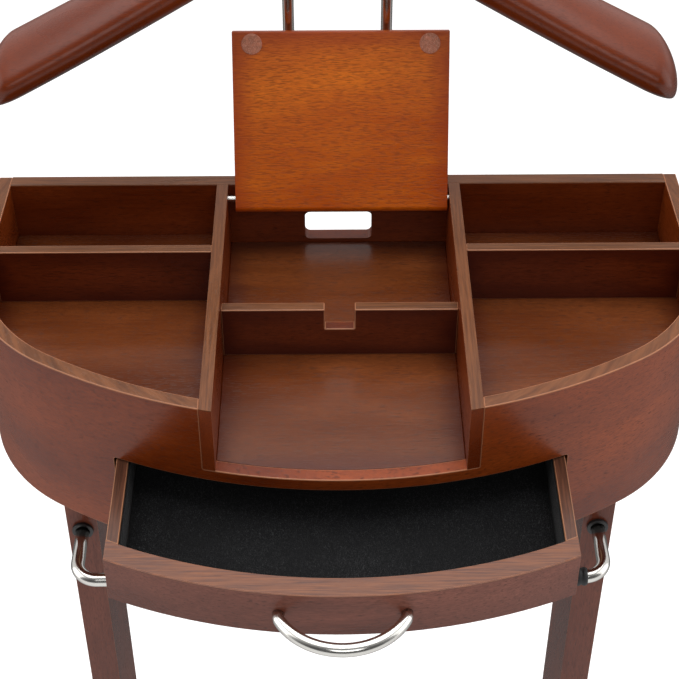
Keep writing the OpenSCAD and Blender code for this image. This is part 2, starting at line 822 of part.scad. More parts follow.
module arm() {
    last = arm_steps + cap_steps;
    points = [for (i = [0:last], j = [0:arm_sides - 1]) arm_point(arm_station(i), 360 * j / arm_sides)];
    walls = [for (i = [0:last - 1], j = [0:arm_sides - 1]) let (k = (j + 1) % arm_sides)
        [i * arm_sides + j, i * arm_sides + k, (i + 1) * arm_sides + k, (i + 1) * arm_sides + j]];
    near_end = [for (j = [arm_sides - 1:-1:0]) j];
    far_end = [for (j = [0:arm_sides - 1]) last * arm_sides + j];
    polyhedron(points = points, faces = concat(walls, [near_end, far_end]), convexity = 4);
}

// Cuts the bores for the two rods, their collars and the dowel out of an arm.
module bored() difference() {
    on_hanger() children();
    post_places() translate([0, 0, collar_z - arm_thick]) {
        cylinder(h = arm_thick + collar_h, r = collar_d / 2 + fit_gap);
        cylinder(h = arm_thick + post_top_z + end_gap - collar_z, r = post_d / 2 + fit_gap);
    }
    on_hanger() rod_x(-dowel_len / 2 - end_gap, dowel_len / 2 + end_gap, dowel_r + fit_gap);
}

module hanger_left_arm() color(mahogany) bored() mirror([1, 0, 0]) arm();

module hanger_right_arm() color(mahogany) bored() arm();

curved_wall();
rear_panel();
left_partition();
right_partition();
left_divider();
right_divider();
lid_rest();
centre_floor();
left_floor();
right_floor();
drawer_shelf();
drawer_guides();
drawer_stops();
lid();
hinge_pins();
lid_pads();
drawer_front();
drawer_veneer();
drawer_left_side();
drawer_right_side();
drawer_back();
drawer_bottom();
drawer_felt();
drawer_lining();
drawer_pull();
pull_screws();
left_upright();
right_upright();
left_cleat();
right_cleat();
upright_bolts();
bar_grommets();
trouser_bar();
bar_sleeve();
post_block();
block_screws();
left_post();
right_post();
post_collars();
hanger_dowel();
hanger_left_arm();
hanger_right_arm();
left_foot();
right_foot();
foot_bolts();
stretcher();
stretcher_bolts();
left_rack_rail();
right_rack_rail();
rack_rods();
floor_glides();
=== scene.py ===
"""Looks of the valet stand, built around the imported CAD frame.

Metres. X is to the right, the front faces -Y and Z is up.
"""

import json
import math

import bmesh
import bpy
from mathutils import Matrix, Vector, noise


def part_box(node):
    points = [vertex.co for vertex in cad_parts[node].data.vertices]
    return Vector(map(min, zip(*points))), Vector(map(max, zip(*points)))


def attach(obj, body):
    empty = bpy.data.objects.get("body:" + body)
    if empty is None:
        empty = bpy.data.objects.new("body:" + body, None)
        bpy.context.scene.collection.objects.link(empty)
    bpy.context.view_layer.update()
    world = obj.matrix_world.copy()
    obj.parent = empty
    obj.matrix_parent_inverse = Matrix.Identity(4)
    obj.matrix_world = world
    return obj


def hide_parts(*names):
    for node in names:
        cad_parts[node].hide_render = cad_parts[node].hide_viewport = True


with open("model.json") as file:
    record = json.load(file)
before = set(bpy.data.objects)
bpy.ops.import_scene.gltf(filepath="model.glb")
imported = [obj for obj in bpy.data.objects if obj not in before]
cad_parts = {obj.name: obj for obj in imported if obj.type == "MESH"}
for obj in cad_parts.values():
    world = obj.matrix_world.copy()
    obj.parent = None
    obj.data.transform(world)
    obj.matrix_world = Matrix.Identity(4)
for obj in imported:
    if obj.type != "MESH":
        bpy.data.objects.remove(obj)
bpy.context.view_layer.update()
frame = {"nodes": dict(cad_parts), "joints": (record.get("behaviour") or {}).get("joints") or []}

MM = 0.001
NODES = frame["nodes"]


def low(node):
    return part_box(node)[0]


def high(node):
    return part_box(node)[1]


def middle(node):
    return (low(node) + high(node)) / 2


# ---- driving places, all taken from the frame ----

RIM_Z = high("curved_wall").z
BACK_Y = high("rear_panel").y
TRAY_FRONT_Y = low("curved_wall").y
BOW_R = 360 * MM
BOW_Y = TRAY_FRONT_Y + BOW_R
DRAWER_OUT = TRAY_FRONT_Y - low("drawer_veneer").y
DRAWER_BOW_Y = BOW_Y - DRAWER_OUT
DRAWER_FRONT_T = 14.5 * MM
FELT_T = 1.0 * MM
FELT_GAP = 0.05 * MM


# ---- camera and light ----

# The camera's place, its turn in radians and its lens in millimetres.
CAMERA_PLACE = (-6.53 * MM, BACK_Y - 962.35 * MM, RIM_Z + 674.22 * MM)
CAMERA_TURN = (0.7126, 0.0077, -0.0011)
CAMERA_LENS = 85.5
CAMERA_SENSOR = 36


def place_camera():
    """The camera looks down on the tray from in front and above."""
    pitch, yaw, roll = CAMERA_TURN
    forward = Vector((math.sin(yaw) * math.cos(pitch), math.cos(yaw) * math.cos(pitch), -math.sin(pitch)))
    level = Vector((math.cos(yaw), -math.sin(yaw), 0))
    upright = level.cross(forward)
    right = level * math.cos(roll) + upright * math.sin(roll)
    up = right.cross(forward)
    turn = Matrix((right, up, -forward)).transposed().to_4x4()
    data = bpy.data.cameras.new("camera")
    data.sensor_width = CAMERA_SENSOR
    data.lens = CAMERA_LENS
    data.clip_end = 50
    camera = bpy.data.objects.new("camera", data)
    camera.matrix_world = Matrix.Translation(CAMERA_PLACE) @ turn
    bpy.context.scene.collection.objects.link(camera)
    bpy.context.scene.camera = camera


def area_light(name, place, aim, size, power):
    data = bpy.data.lights.new(name, "AREA")
    data.shape = "RECTANGLE"
    data.size, data.size_y = size
    data.energy = power
    light = bpy.data.objects.new(name, data)
    light.location = place
    light.rotation_euler = (Vector(aim) - Vector(place)).to_track_quat("-Z", "Y").to_euler()
    bpy.context.scene.collection.objects.link(light)


# name: (place, size, power in watts). Each light is aimed at the point over the origin at rim height.
LIGHTS = {
    "overhead": ((0, 0.5, RIM_Z + 1.9), (2.6, 2.0), 38),
    "left_panel": ((-2.1, -0.1, RIM_Z + 0.5), (1.6, 2.4), 14),
    "right_panel": ((2.1, -0.1, RIM_Z + 0.5), (1.6, 2.4), 12),
    "front_fill": ((0.2, -2.2, RIM_Z + 1.6), (1.6, 1.0), 11),
}


def light_studio():
    """A plain white studio: the world is bright behind and dim in front above the horizon.

    Below the horizon it is bright in front and dim behind. It stands for the light that the floor throws
    back, because the floor is hidden from the object's bounced and reflected rays.
    """
    tray = (0, 0, RIM_Z)
    for name, (place, size, power) in LIGHTS.items():
        area_light(name, place, tray, size, power)
    world = bpy.data.worlds.new("studio")
    world.use_nodes = True
    tree = world.node_tree
    tree.nodes.clear()
    out = tree.nodes.new("ShaderNodeOutputWorld")
    light = tree.nodes.new("ShaderNodeBackground")
    place = tree.nodes.new("ShaderNodeTexCoord")
    parts = tree.nodes.new("ShaderNodeSeparateXYZ")
    tree.links.new(place.outputs["Generated"], parts.inputs[0])

    def fade(source, from_low, from_high, to_low, to_high):
        node = tree.nodes.new("ShaderNodeMapRange")
        node.interpolation_type = "SMOOTHSTEP"
        tree.links.new(source, node.inputs["Value"])
        names = ("From Min", "From Max", "To Min", "To Max")
        for name, value in zip(names, (from_low, from_high, to_low, to_high)):
            if isinstance(value, bpy.types.NodeSocket):
                tree.links.new(value, node.inputs[name])
            else:
                node.inputs[name].default_value = value
        return node.outputs["Result"]

    above = fade(parts.outputs["Y"], -0.75, 0.1, 0.12, 0.95)
    below = fade(parts.outputs["Y"], -0.5, 0.7, 1.2, 0.2)
    tree.links.new(fade(parts.outputs["Z"], -0.22, 0.04, below, above), light.inputs["Strength"])
    tree.links.new(light.outputs[0], out.inputs["Surface"])
    bpy.context.scene.world = world
    bpy.context.scene.view_settings.view_transform = "Standard"


# ---- node graphs ----


class Graph:
    """A material and short names for the nodes that it is built from."""

    def __init__(self, name):
        self.material = bpy.data.materials.new(name)
        self.material.use_nodes = True
        self.tree = self.material.node_tree
        self.tree.nodes.clear()
        self.output = self.tree.nodes.new("ShaderNodeOutputMaterial")

    def put(self, socket, value):
        if isinstance(value, bpy.types.NodeSocket):
            self.tree.links.new(value, socket)
        elif isinstance(value, tuple) and len(value) == 3 and socket.type == "RGBA":
            socket.default_value = (*value, 1)
        else:
            socket.default_value = value

    def math(self, operation, a, b=0.0):
        node = self.tree.nodes.new("ShaderNodeMath")
        node.operation = operation
        self.put(node.inputs[0], a)
        self.put(node.inputs[1], b)
        return node.outputs[0]

    def place(self):
        """The point's place in the row frame, in metres, at rest."""
        return self.tree.nodes.new("ShaderNodeTexCoord").outputs["Object"]

    def split(self, vector):
        node = self.tree.nodes.new("ShaderNodeSeparateXYZ")
        self.put(node.inputs[0], vector)
        return node.outputs

    def join(self, x, y, z):
        node = self.tree.nodes.new("ShaderNodeCombineXYZ")
        for socket, value in zip(node.inputs, (x, y, z)):
            self.put(socket, value)
        return node.outputs[0]

    def stretch(self, vector, scale, shift=(0, 0, 0)):
        node = self.tree.nodes.new("ShaderNodeMapping")
        self.put(node.inputs["Vector"], vector)
        node.inputs["Location"].default_value = shift
        node.inputs["Scale"].default_value = scale
        return node.outputs[0]

    def noise(self, vector, scale=1.0, detail=3.0, roughness=0.5, distortion=0.0):
        node = self.tree.nodes.new("ShaderNodeTexNoise")
        self.put(node.inputs["Vector"], vector)
        node.inputs["Scale"].default_value = scale
        node.inputs["Detail"].default_value = detail
        node.inputs["Roughness"].default_value = roughness
        node.inputs["Distortion"].default_value = distortion
        return node.outputs[0]

    def spread(self, value, from_low, from_high, to_low=0.0, to_high=1.0):
        node = self.tree.nodes.new("ShaderNodeMapRange")
        self.put(node.inputs["Value"], value)
        limits = {"From Min": from_low, "From Max": from_high, "To Min": to_low, "To Max": to_high}
        for name, number in limits.items():
            node.inputs[name].default_value = number
        return node.outputs["Result"]

    def blend(self, factor, a, b):
        node = self.tree.nodes.new("ShaderNodeMix")
        node.data_type = "RGBA"
        self.put(node.inputs["Factor"], factor)
        self.put(node.inputs[6], a)
        self.put(node.inputs[7], b)
        return node.outputs[2]

    def bump(self, height, distance, strength=1.0):
        node = self.tree.nodes.new("ShaderNodeBump")
        self.put(node.inputs["Height"], height)
        node.inputs["Distance"].default_value = distance
        node.inputs["Strength"].default_value = strength
        return node.outputs[0]

    def finish(self, **inputs):
        """Ends in a Principled shader. Keys are socket names with _ for a space."""
        shader = self.tree.nodes.new("ShaderNodeBsdfPrincipled")
        for name, value in inputs.items():
            self.put(shader.inputs[name.replace("_", " ")], value)
        self.tree.links.new(shader.outputs[0], self.output.inputs["Surface"])
        return self.material


# ---- materials ----

# The curved wall's grain runs round a point this far in front of the tray's back.
# An angle about that point counts as a length at BOW_GRAIN_REACH.
# Distance from that point counts for BOW_GRAIN_DEPTH of itself.
BOW_GRAIN_AHEAD = 100 * MM
BOW_GRAIN_REACH = 0.22
BOW_GRAIN_DEPTH = 0.3


def along_grain(g, grain):
    """Coordinates whose first part runs along the wood's grain."""
    x, y, z = g.split(g.place())
    if grain == "x":
        return g.join(x, y, z)
    if grain == "y":
        return g.join(y, x, z)
    if grain == "z":
        return g.join(z, x, y)
    # "bow": the grain follows the tray's wall around, so its first part is an angle.
    ahead = g.math("SUBTRACT", BACK_Y - BOW_GRAIN_AHEAD, y)
    around = g.math("MULTIPLY", g.math("ARCTAN2", x, ahead), BOW_GRAIN_REACH)
    reach = g.math("SQRT", g.math("ADD", g.math("MULTIPLY", x, x), g.math("MULTIPLY", ahead, ahead)))
    return g.join(around, g.math("MULTIPLY", reach, BOW_GRAIN_DEPTH), z)


# Lacquer on the floors and the drawer's front, and on the other boards.
FLOOR_COAT = 0.22
WOOD_COAT = 0.06
# Rubbed edges show this paler tone: partly wear, partly a painted highlight along the rounded edge.
WORN_AND_HIGHLIGHT_TONE = (0.52, 0.24, 0.125)
# Pores show where their noise is over PORE_LOW, and they are full at PORE_SPREAD above it.
# Their tone is PORE_DARK of the wood's.
PORE_LOW = 0.57
PORE_SPREAD = 0.13
PORE_DARK = 0.22
# A darkened border fades out over BORDER_REACH, with its line ragged by BORDER_RAGGED.
# A board thinner than BORDER_LEAST has no border across its thickness.
BORDER_REACH = 16 * MM
BORDER_RAGGED = 3 * MM
BORDER_LEAST = 20 * MM


def shade(tone, *factors):
    """A tone with its red, green and blue multiplied, kept within range."""
    return tuple(min(1.0, c * f) for c, f in zip(tone, factors))


def wood(name, tone, grain="x", seed=0.0, gloss=0.3, coat=WOOD_COAT, contrast=1.0, edge_wear_and_highlight=0.0, top=None,
         pore_low=PORE_LOW, border=None):
    """Stained and lacquered mahogany: cloudy stain, fine streaks and short dark pores along the grain.

    top is a height and two tones: the board's upper edge has these in place of its own.
    border is the two corners of a board that darkens towards its edges: real stain on the lid, painted
    shade on the other boards.
    """
    g = Graph(name)
    place = along_grain(g, grain)
    shift = (seed * 1.7, seed * 0.9, seed * 1.3)
    cloud = g.noise(g.stretch(place, (6, 14, 14), shift), detail=2.0)
    figure = g.noise(g.stretch(place, (12, 70, 70), shift), detail=4.0, roughness=0.65, distortion=0.6)
    curl = g.noise(g.stretch(place, (170, 700, 700), shift), detail=3.0, roughness=0.65, distortion=0.8)
    streak = g.noise(g.stretch(place, (30, 700, 700), shift), detail=3.0, roughness=0.65)
    speck = g.noise(g.stretch(place, (170, 1500, 1500), shift), detail=1.0)
    pores = g.spread(speck, pore_low, pore_low + PORE_SPREAD)
    deep = shade(tone, 0.45, 0.36, 0.32)
    pale = shade(tone, 1.40, 1.60, 1.8)
    mid = 0.5 * contrast
    body = g.blend(g.spread(cloud, 0.30, 0.72, 0.5 - mid, 0.5 + mid), deep, pale)
    body = g.blend(g.spread(figure, 0.34, 0.66, 0.75 * mid, 0.0), body, deep)
    body = g.blend(g.spread(curl, 0.40, 0.64, 0.9 * mid, 0.0), body, deep)
    body = g.blend(g.spread(streak, 0.35, 0.7, 0.0, 0.5 * mid), body, pale)
    pore_tone = shade(tone, PORE_DARK, PORE_DARK, PORE_DARK)
    body = g.blend(g.math("MULTIPLY", pores, 0.6 * contrast), body, pore_tone)
    # Darker towards the edges: stain on the lid, painted shade on the other boards.
    if border:
        near = edge_distance(g, *border)
        ragged = g.math("ADD", near, g.spread(figure, 0.3, 0.7, -BORDER_RAGGED, BORDER_RAGGED))
        sunburst_and_shade = shade(tone, 0.36, 0.24, 0.5)
        body = g.blend(g.spread(ragged, 0.0, BORDER_REACH, 0.75, 0.0), body, sunburst_and_shade)
    if top:
        top_z, top_low, top_high = top
        upper = g.spread(g.split(g.place())[2], top_z - 1.0 * MM, top_z - 0.3 * MM, 0.0, 0.85)
        body = g.blend(upper, body, g.blend(g.spread(streak, 0.35, 0.65), top_low, top_high))
    # The paler edge is partly wear and partly a painted highlight.
    if edge_wear_and_highlight:
        body = g.blend(edge_wear_and_highlight, body, WORN_AND_HIGHLIGHT_TONE)
    sheen = g.spread(cloud, 0.3, 0.7, gloss - 0.04, gloss + 0.06)
    rough = g.math("ADD", sheen, g.math("MULTIPLY", pores, 0.16))
    height = g.math("SUBTRACT", g.math("MULTIPLY", streak, 0.35), pores)
    return g.finish(
        Base_Color=body, Roughness=rough, Normal=g.bump(height, 0.06 * MM, 0.5),
        Specular_IOR_Level=0.28, Coat_Weight=coat, Coat_Roughness=0.16, Coat_IOR=1.5)


def edge_distance(g, low_corner, high_corner):
    """How far a point is from the nearest side of a box, leaving out the thin way through the board."""
    near = None
    for part, low_end, high_end in zip(g.split(g.place()), low_corner, high_corner):
        if high_end - low_end > BORDER_LEAST:
            from_low = g.math("SUBTRACT", part, low_end)
            from_high = g.math("SUBTRACT", high_end, part)
            ends = g.math("MINIMUM", from_low, from_high)
            near = ends if near is None else g.math("MINIMUM", near, ends)
    return near


def bare_wood(name):
    g = Graph(name)
    place = along_grain(g, "y")
    figure = g.noise(g.stretch(place, (6, 120, 120)), detail=5.0, roughness=0.6)
    fibre = g.noise(g.stretch(place, (60, 1300, 1300)), detail=2.0)
    body = g.blend(g.spread(figure, 0.35, 0.65), (0.30, 0.15, 0.07), (0.52, 0.31, 0.17))
    body = g.blend(g.spread(fibre, 0.55, 0.75, 0.0, 0.5), body, (0.17, 0.08, 0.04))
    return g.finish(Base_Color=body, Roughness=g.spread(fibre, 0.3, 0.7, 0.5, 0.7),
                    Normal=g.bump(fibre, 0.1 * MM))


def nickel(name, along="x", tone=(0.74, 0.72, 0.68), rough=0.2):
    """Satin plating: fine lines along the rod, faint clouding and a few soft handling marks."""
    g = Graph(name)
    place = along_grain(g, along)
    lines = g.noise(g.stretch(place, (30, 2600, 2600)), detail=2.0)
    cloud = g.noise(g.stretch(place, (14, 40, 40)), detail=4.0, roughness=0.6)
    marks = g.spread(g.noise(g.stretch(place, (90, 90, 90)), detail=6.0, roughness=0.75), 0.62, 0.8)
    body = g.blend(g.spread(cloud, 0.3, 0.7), tuple(c * 0.93 for c in tone), tone)
    body = g.blend(g.math("MULTIPLY", marks, 0.35), body, tuple(c * 0.8 for c in tone))
    brushed = g.spread(lines, 0.3, 0.7, rough - 0.05, rough + 0.07)
    return g.finish(Base_Color=body, Metallic=1.0, Normal=g.bump(lines, 0.01 * MM, 0.4),
                    Roughness=g.math("ADD", brushed, g.math("MULTIPLY", marks, 0.12)))


def zinc(name):
    g = Graph(name)
    place = g.place()
    spangle = g.noise(g.stretch(place, (420, 420, 420)), detail=3.0, roughness=0.7)
    body = g.blend(g.spread(spangle, 0.3, 0.7), (0.46, 0.47, 0.48), (0.70, 0.69, 0.64))
    return g.finish(Base_Color=body, Metallic=1.0, Roughness=g.spread(spangle, 0.3, 0.7, 0.3, 0.5),
                    Normal=g.bump(spangle, 0.03 * MM, 0.5))


def felt(name, tone, fleck):
    """Pressed felt: matted fibres in every direction, with paler flecks where the pile catches light."""
    g = Graph(name)
    place = g.place()
    wander = g.noise(g.stretch(place, (260, 260, 260)), detail=5.0, roughness=0.7, distortion=1.4)
    fibre = g.noise(g.stretch(place, (1500, 700, 1500)), detail=3.0, distortion=2.0)
    patch = g.noise(g.stretch(place, (22, 22, 22)), detail=3.0)
    flecks = g.math("MULTIPLY", g.spread(fibre, 0.54, 0.74), g.spread(patch, 0.3, 0.7, 0.35, 1.0))
    body = g.blend(g.spread(wander, 0.35, 0.7), tuple(c * 0.6 for c in tone), tone)
    body = g.blend(flecks, body, fleck)
    height = g.math("ADD", g.math("MULTIPLY", wander, 0.6), fibre)
    return g.finish(Base_Color=body, Roughness=g.spread(wander, 0.3, 0.7, 0.86, 1.0),
                    Specular_IOR_Level=0.15, Sheen_Weight=0.08, Sheen_Roughness=0.45,
                    Normal=g.bump(height, 0.35 * MM, 0.8))


def rubber(name, rough=0.6):
    g = Graph(name)
    place = g.place()
    grain = g.noise(g.stretch(place, (900, 900, 900)), detail=4.0, roughness=0.6)
    dust = g.noise(g.stretch(place, (60, 60, 60)), detail=4.0, roughness=0.6)
    body = g.blend(g.spread(dust, 0.45, 0.75, 0.0, 0.5), (0.012, 0.012, 0.013), (0.045, 0.044, 0.043))
    return g.finish(Base_Color=body, Roughness=g.spread(dust, 0.3, 0.7, rough - 0.08, rough + 0.1),
                    Normal=g.bump(grain, 0.04 * MM, 0.6))


def paper_white(name):
    """White paper that glows a little, so that it stays pale in the stand's shade."""
    g = Graph(name)
    mottle = g.noise(g.stretch(g.place(), (3, 3, 3)), detail=4.0)
    return g.finish(Base_Color=g.blend(mottle, (0.90, 0.90, 0.90), (0.92, 0.92, 0.92)), Roughness=0.9,
                    Specular_IOR_Level=0.1, Emission_Color=(1, 1, 1), Emission_Strength=0.3)


# ---- CAD nodes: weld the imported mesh, round its edges, give it wood or metal ----


def finish_node(node, material, edge=None, width=0.7 * MM, segments=2):
    o = NODES[node]
    o.data.materials.clear()
    o.data.materials.append(material)
    o.data.materials.append(edge or material)
    for p in o.data.polygons:
        p.use_smooth = True
        p.material_index = 0
    weld = o.modifiers.new("weld", "WELD")
    weld.merge_threshold = 0.01 * MM
    flat = o.modifiers.new("flat", "DECIMATE")
    flat.decimate_type = "DISSOLVE"
    flat.angle_limit = math.radians(0.3)
    if width:
        bevel = o.modifiers.new("bevel", "BEVEL")
        bevel.width = width
        bevel.segments = segments
        bevel.limit_method = "ANGLE"
        bevel.angle_limit = math.radians(35)
        bevel.use_clamp_overlap = True
        bevel.miter_outer = "MITER_ARC"
        bevel.material = 1 if edge else -1
    normals = o.modifiers.new("normals", "WEIGHTED_NORMAL")
    normals.keep_sharp = False
    normals.weight = 80


# Tone of each sort of board, linear red, green and blue.
# STAIN_LID is stronger than real stain is. It suits the open lid, which little light reaches. Closed, the
# lid faces the overhead light and looks paler than it should.
STAIN = (0.275, 0.046, 0.006)
# Boards inside the tray get darker copies of the wall's stain: painted shade, deepest on the dividers and
# lid rest.
STAIN_INSIDE_SHADED = (0.215, 0.034, 0.005)
STAIN_DIVIDER_SHADED = (0.150, 0.024, 0.005)
STAIN_FLOOR = (0.190, 0.046, 0.010)
STAIN_LID = (0.990, 0.160, 0.003)
# Dark edge tone: stain on the lid's edges, painted shade on the floors' edges.
DARK_EDGE_STAIN_AND_SHADE = (0.120, 0.018, 0.004)
STAIN_DRAWER = (0.240, 0.066, 0.036)
STAIN_DRAWER_BOX = (0.110, 0.038, 0.018)
STAIN_LEG = (0.210, 0.052, 0.026)
# The hanger's tone is darker than its wood: painted shade for the undersides of its arms.
STAIN_HANGER_SHADED = (0.165, 0.023, 0.002)

# Low and high tone of the upper edges that show.
RUBBED = ((0.092, 0.032, 0.009), (0.190, 0.069, 0.022))
FRONT_TOP = ((0.100, 0.036, 0.022), (0.230, 0.078, 0.030))
SIDE_TOP = ((0.060, 0.024, 0.014), (0.150, 0.056, 0.030))

# node: (tone, grain direction, gloss)
BOARDS = {
    "curved_wall": (STAIN, "bow", 0.27),
    "rear_panel": (STAIN_INSIDE_SHADED, "x", 0.30),
    "left_partition": (STAIN_INSIDE_SHADED, "y", 0.28),
    "right_partition": (STAIN_INSIDE_SHADED, "y", 0.28),
    "left_divider": (STAIN_DIVIDER_SHADED, "x", 0.28),
    "right_divider": (STAIN_DIVIDER_SHADED, "x", 0.28),
    "lid_rest": (STAIN_DIVIDER_SHADED, "x", 0.28),
    "centre_floor": (STAIN_FLOOR, "x", 0.25),
    "left_floor": (STAIN_FLOOR, "x", 0.25),
    "right_floor": (STAIN_FLOOR, "x", 0.25),
    "drawer_shelf": (STAIN_INSIDE_SHADED, "x", 0.4),
    "lid": (STAIN_LID, "x", 0.30),
    "drawer_front": (STAIN_FLOOR, "x", 0.3),
    "drawer_veneer": (STAIN_DRAWER, "x", 0.3),
    "drawer_left_side": (STAIN_DRAWER_BOX, "y", 0.3),
    "drawer_right_side": (STAIN_DRAWER_BOX, "y", 0.3),
    "drawer_back": (STAIN_DRAWER_BOX, "x", 0.35),
    "drawer_bottom": (STAIN_DRAWER_BOX, "x", 0.4),
    "left_upright": (STAIN_LEG, "z", 0.27),
    "right_upright": (STAIN_LEG, "z", 0.27),
    "left_foot": (STAIN_LEG, "y", 0.28),
    "right_foot": (STAIN_LEG, "y", 0.28),
    "stretcher": (STAIN_LEG, "x", 0.28),
    "left_rack_rail": (STAIN_LEG, "y", 0.28),
    "right_rack_rail": (STAIN_LEG, "y", 0.28),
    "post_block": (STAIN, "x", 0.3),
}

# Boards whose upper edges show: their low and high tones there.
TOPS = {
    **dict.fromkeys(("curved_wall", "rear_panel", "left_partition", "right_partition", "left_divider",
                     "right_divider", "lid_rest"), RUBBED),
    **dict.fromkeys(("drawer_left_side", "drawer_right_side"), SIDE_TOP),
    **dict.fromkeys(("drawer_front", "drawer_veneer"), FRONT_TOP),
}

# Boards whose rounded edges are dark: dark stain on the lid, painted shade on the floors where they meet
# the walls.
STAIN_AND_SHADE_EDGED = ("lid", "centre_floor", "left_floor", "right_floor")
# Boards whose faces also darken towards their edges: painted shade near the corners they stand in.
PAINTED_SHADE_BORDERED = ("centre_floor", "left_floor", "right_floor", "left_divider", "right_divider", "lid_rest")

# How far a plain edge goes towards the rubbed tone, which is partly wear and partly a painted highlight.
EDGE_WEAR_AND_HIGHLIGHT = 0.6
LID_PORE_LOW = 0.50
LID_CONTRAST = 0.85
# The lid's border starts this far outside it on the hinge's side, so no border shows there.
LID_HINGE_BARE = Vector((0, 40 * MM, 40 * MM))


def finish_boards():
    for i, (node, (tone, grain, gloss)) in enumerate(BOARDS.items()):
        top = (high(node).z, *TOPS[node]) if node in TOPS else None
        if node == "lid":
            # The lid's stain shades towards its sides and its free end, not towards the hinge.
            border = (low(node) - LID_HINGE_BARE, high(node))
            body = wood("wood_lid", tone, grain, seed=i + 1, gloss=gloss, contrast=LID_CONTRAST,
                        pore_low=LID_PORE_LOW, border=border)
        else:
            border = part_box(node) if node in PAINTED_SHADE_BORDERED else None
            coat = FLOOR_COAT if tone == STAIN_FLOOR else WOOD_COAT
            body = wood(f"wood_{node}", tone, grain, seed=i + 1, gloss=gloss, coat=coat, top=top,
                        border=border)
        # The floors' dark edges are painted shade; the lid's are dark stain.
        if node in STAIN_AND_SHADE_EDGED:
            edge = wood(f"edge_{node}", DARK_EDGE_STAIN_AND_SHADE, grain, seed=i + 1, gloss=gloss)
        else:
            edge = wood(f"edge_{node}", tone, grain, seed=i + 1, gloss=gloss, edge_wear_and_highlight=EDGE_WEAR_AND_HIGHLIGHT)
        finish_node(node, body, edge)


def finish_metal():
    # The posts' nickel is darker than the rest: a painted reflection of the dark wood around them.
    upright_rod = nickel("nickel_upright", "z", tone=(0.46, 0.43, 0.41), rough=0.14)
    cross_rod = nickel("nickel_cross", "x", rough=0.2)
    screw_metal = zinc("zinc_screws")
    plastic = rubber("black_plastic", 0.42)
    raw = bare_wood("plain_wood")
    for node in ("left_post", "right_post", "post_collars"):
        finish_node(node, upright_rod, width=0.3 * MM)
    for node in ("rack_rods", "hinge_pins", "stretcher_bolts"):
        finish_node(node, cross_rod, width=0.3 * MM)
    for node in ("pull_screws", "upright_bolts", "block_screws", "foot_bolts"):
        finish_node(node, screw_metal, width=0.2 * MM)
    for node in ("bar_grommets", "floor_glides"):
        finish_node(node, plastic, width=0.5 * MM, segments=3)
    for node in ("drawer_guides", "drawer_stops", "left_cleat", "right_cleat", "hanger_dowel"):
        finish_node(node, raw, width=0.5 * MM)


# ---- pieces built here ----


def new_piece(name, mesh, material, body, replaced):
    """A finished piece that rides on a body and stands for the CAD nodes it replaces."""
    o = bpy.data.objects.new(name, mesh)
    bpy.context.scene.collection.objects.link(o)
    for m in material if isinstance(material, (list, tuple)) else [material]:
        mesh.materials.append(m)
    for p in mesh.polygons:
        p.use_smooth = True
    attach(o, body)
    if replaced:
        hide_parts(*replaced)
    return o


def skin_rings(rings, close_ends=True):
    """A mesh over rows of points, each row a closed ring with the same number of points."""
    mesh = bpy.data.meshes.new("skin")
    sides = len(rings[0])
    points = [p for ring in rings for p in ring]
    faces = []
    for i in range(len(rings) - 1):
        for j in range(sides):
            k = (j + 1) % sides
            faces.append((i * sides + j, i * sides + k, (i + 1) * sides + k, (i + 1) * sides + j))
    if close_ends:
        faces.append(tuple(reversed(range(sides))))
        faces.append(tuple((len(rings) - 1) * sides + j for j in range(sides)))
    mesh.from_pydata(points, [], faces)
    bm = bmesh.new()
    bm.from_mesh(mesh)
    bmesh.ops.recalc_face_normals(bm, faces=bm.faces)
    bm.to_mesh(mesh)
    bm.free()
    return mesh


def circle(sides):
    """The cosine and sine at each corner of a regular polygon."""
    return [(math.cos(2 * math.pi * j / sides), math.sin(2 * math.pi * j / sides)) for j in range(sides)]


def sweep(path, radii, sides=40):
    """Round rod along a level path, with one (side, up) radius pair at each point."""
    rings = []
    for i, p in enumerate(path):
        ahead = path[min(i + 1, len(path) - 1)] - path[max(i - 1, 0)]
        ahead.z = 0
        ahead.normalize()
        aside = Vector((ahead.y, -ahead.x, 0))
        wide, tall = radii[i]
        rings.append([p + aside * wide * c + Vector((0, 0, tall * s)) for c, s in circle(sides)])
    return skin_rings(rings)


# The hanger's offset, height over the rim, and turn about the upright axis in degrees.
HANGER_X = -4.3 * MM
HANGER_UP = 182.6 * MM
HANGER_TURN = 0.6
# One arm: its length, the round of its neck, its droop per length and how that droop bends.
ARM_HALF = 238.5 * MM
ARM_NECK = 40 * MM
ARM_SLOPE = 0.5033
ARM_CURVE = -0.2
# Its greatest depth and thickness, the share of that depth at the neck, and where it is at full depth.
ARM_DEPTH = 74.4 * MM
ARM_THICK = 31.7 * MM
ARM_WAIST = 0.3
ARM_WAIST_END = 0.9
# Where the round end starts, how far its upper side comes down, how round it is, and the sweep forward.
CAP_START = 0.894
CAP_BIAS = 1.06
CAP_ROUND = 1.72
ARM_SWEEP = 60 * MM
ARM_ROWS = 56
CAP_ROWS = 24
ARM_SIDES = 72
# The last row of the end stops short of a point by this part of a row.
CAP_SHORT = 0.3
ROOF_POWER = 0.9
# Its wood.
HANGER_SEED = 31
HANGER_GLOSS = 0.27
HANGER_COAT = 0.1
HANGER_CONTRAST = 0.7


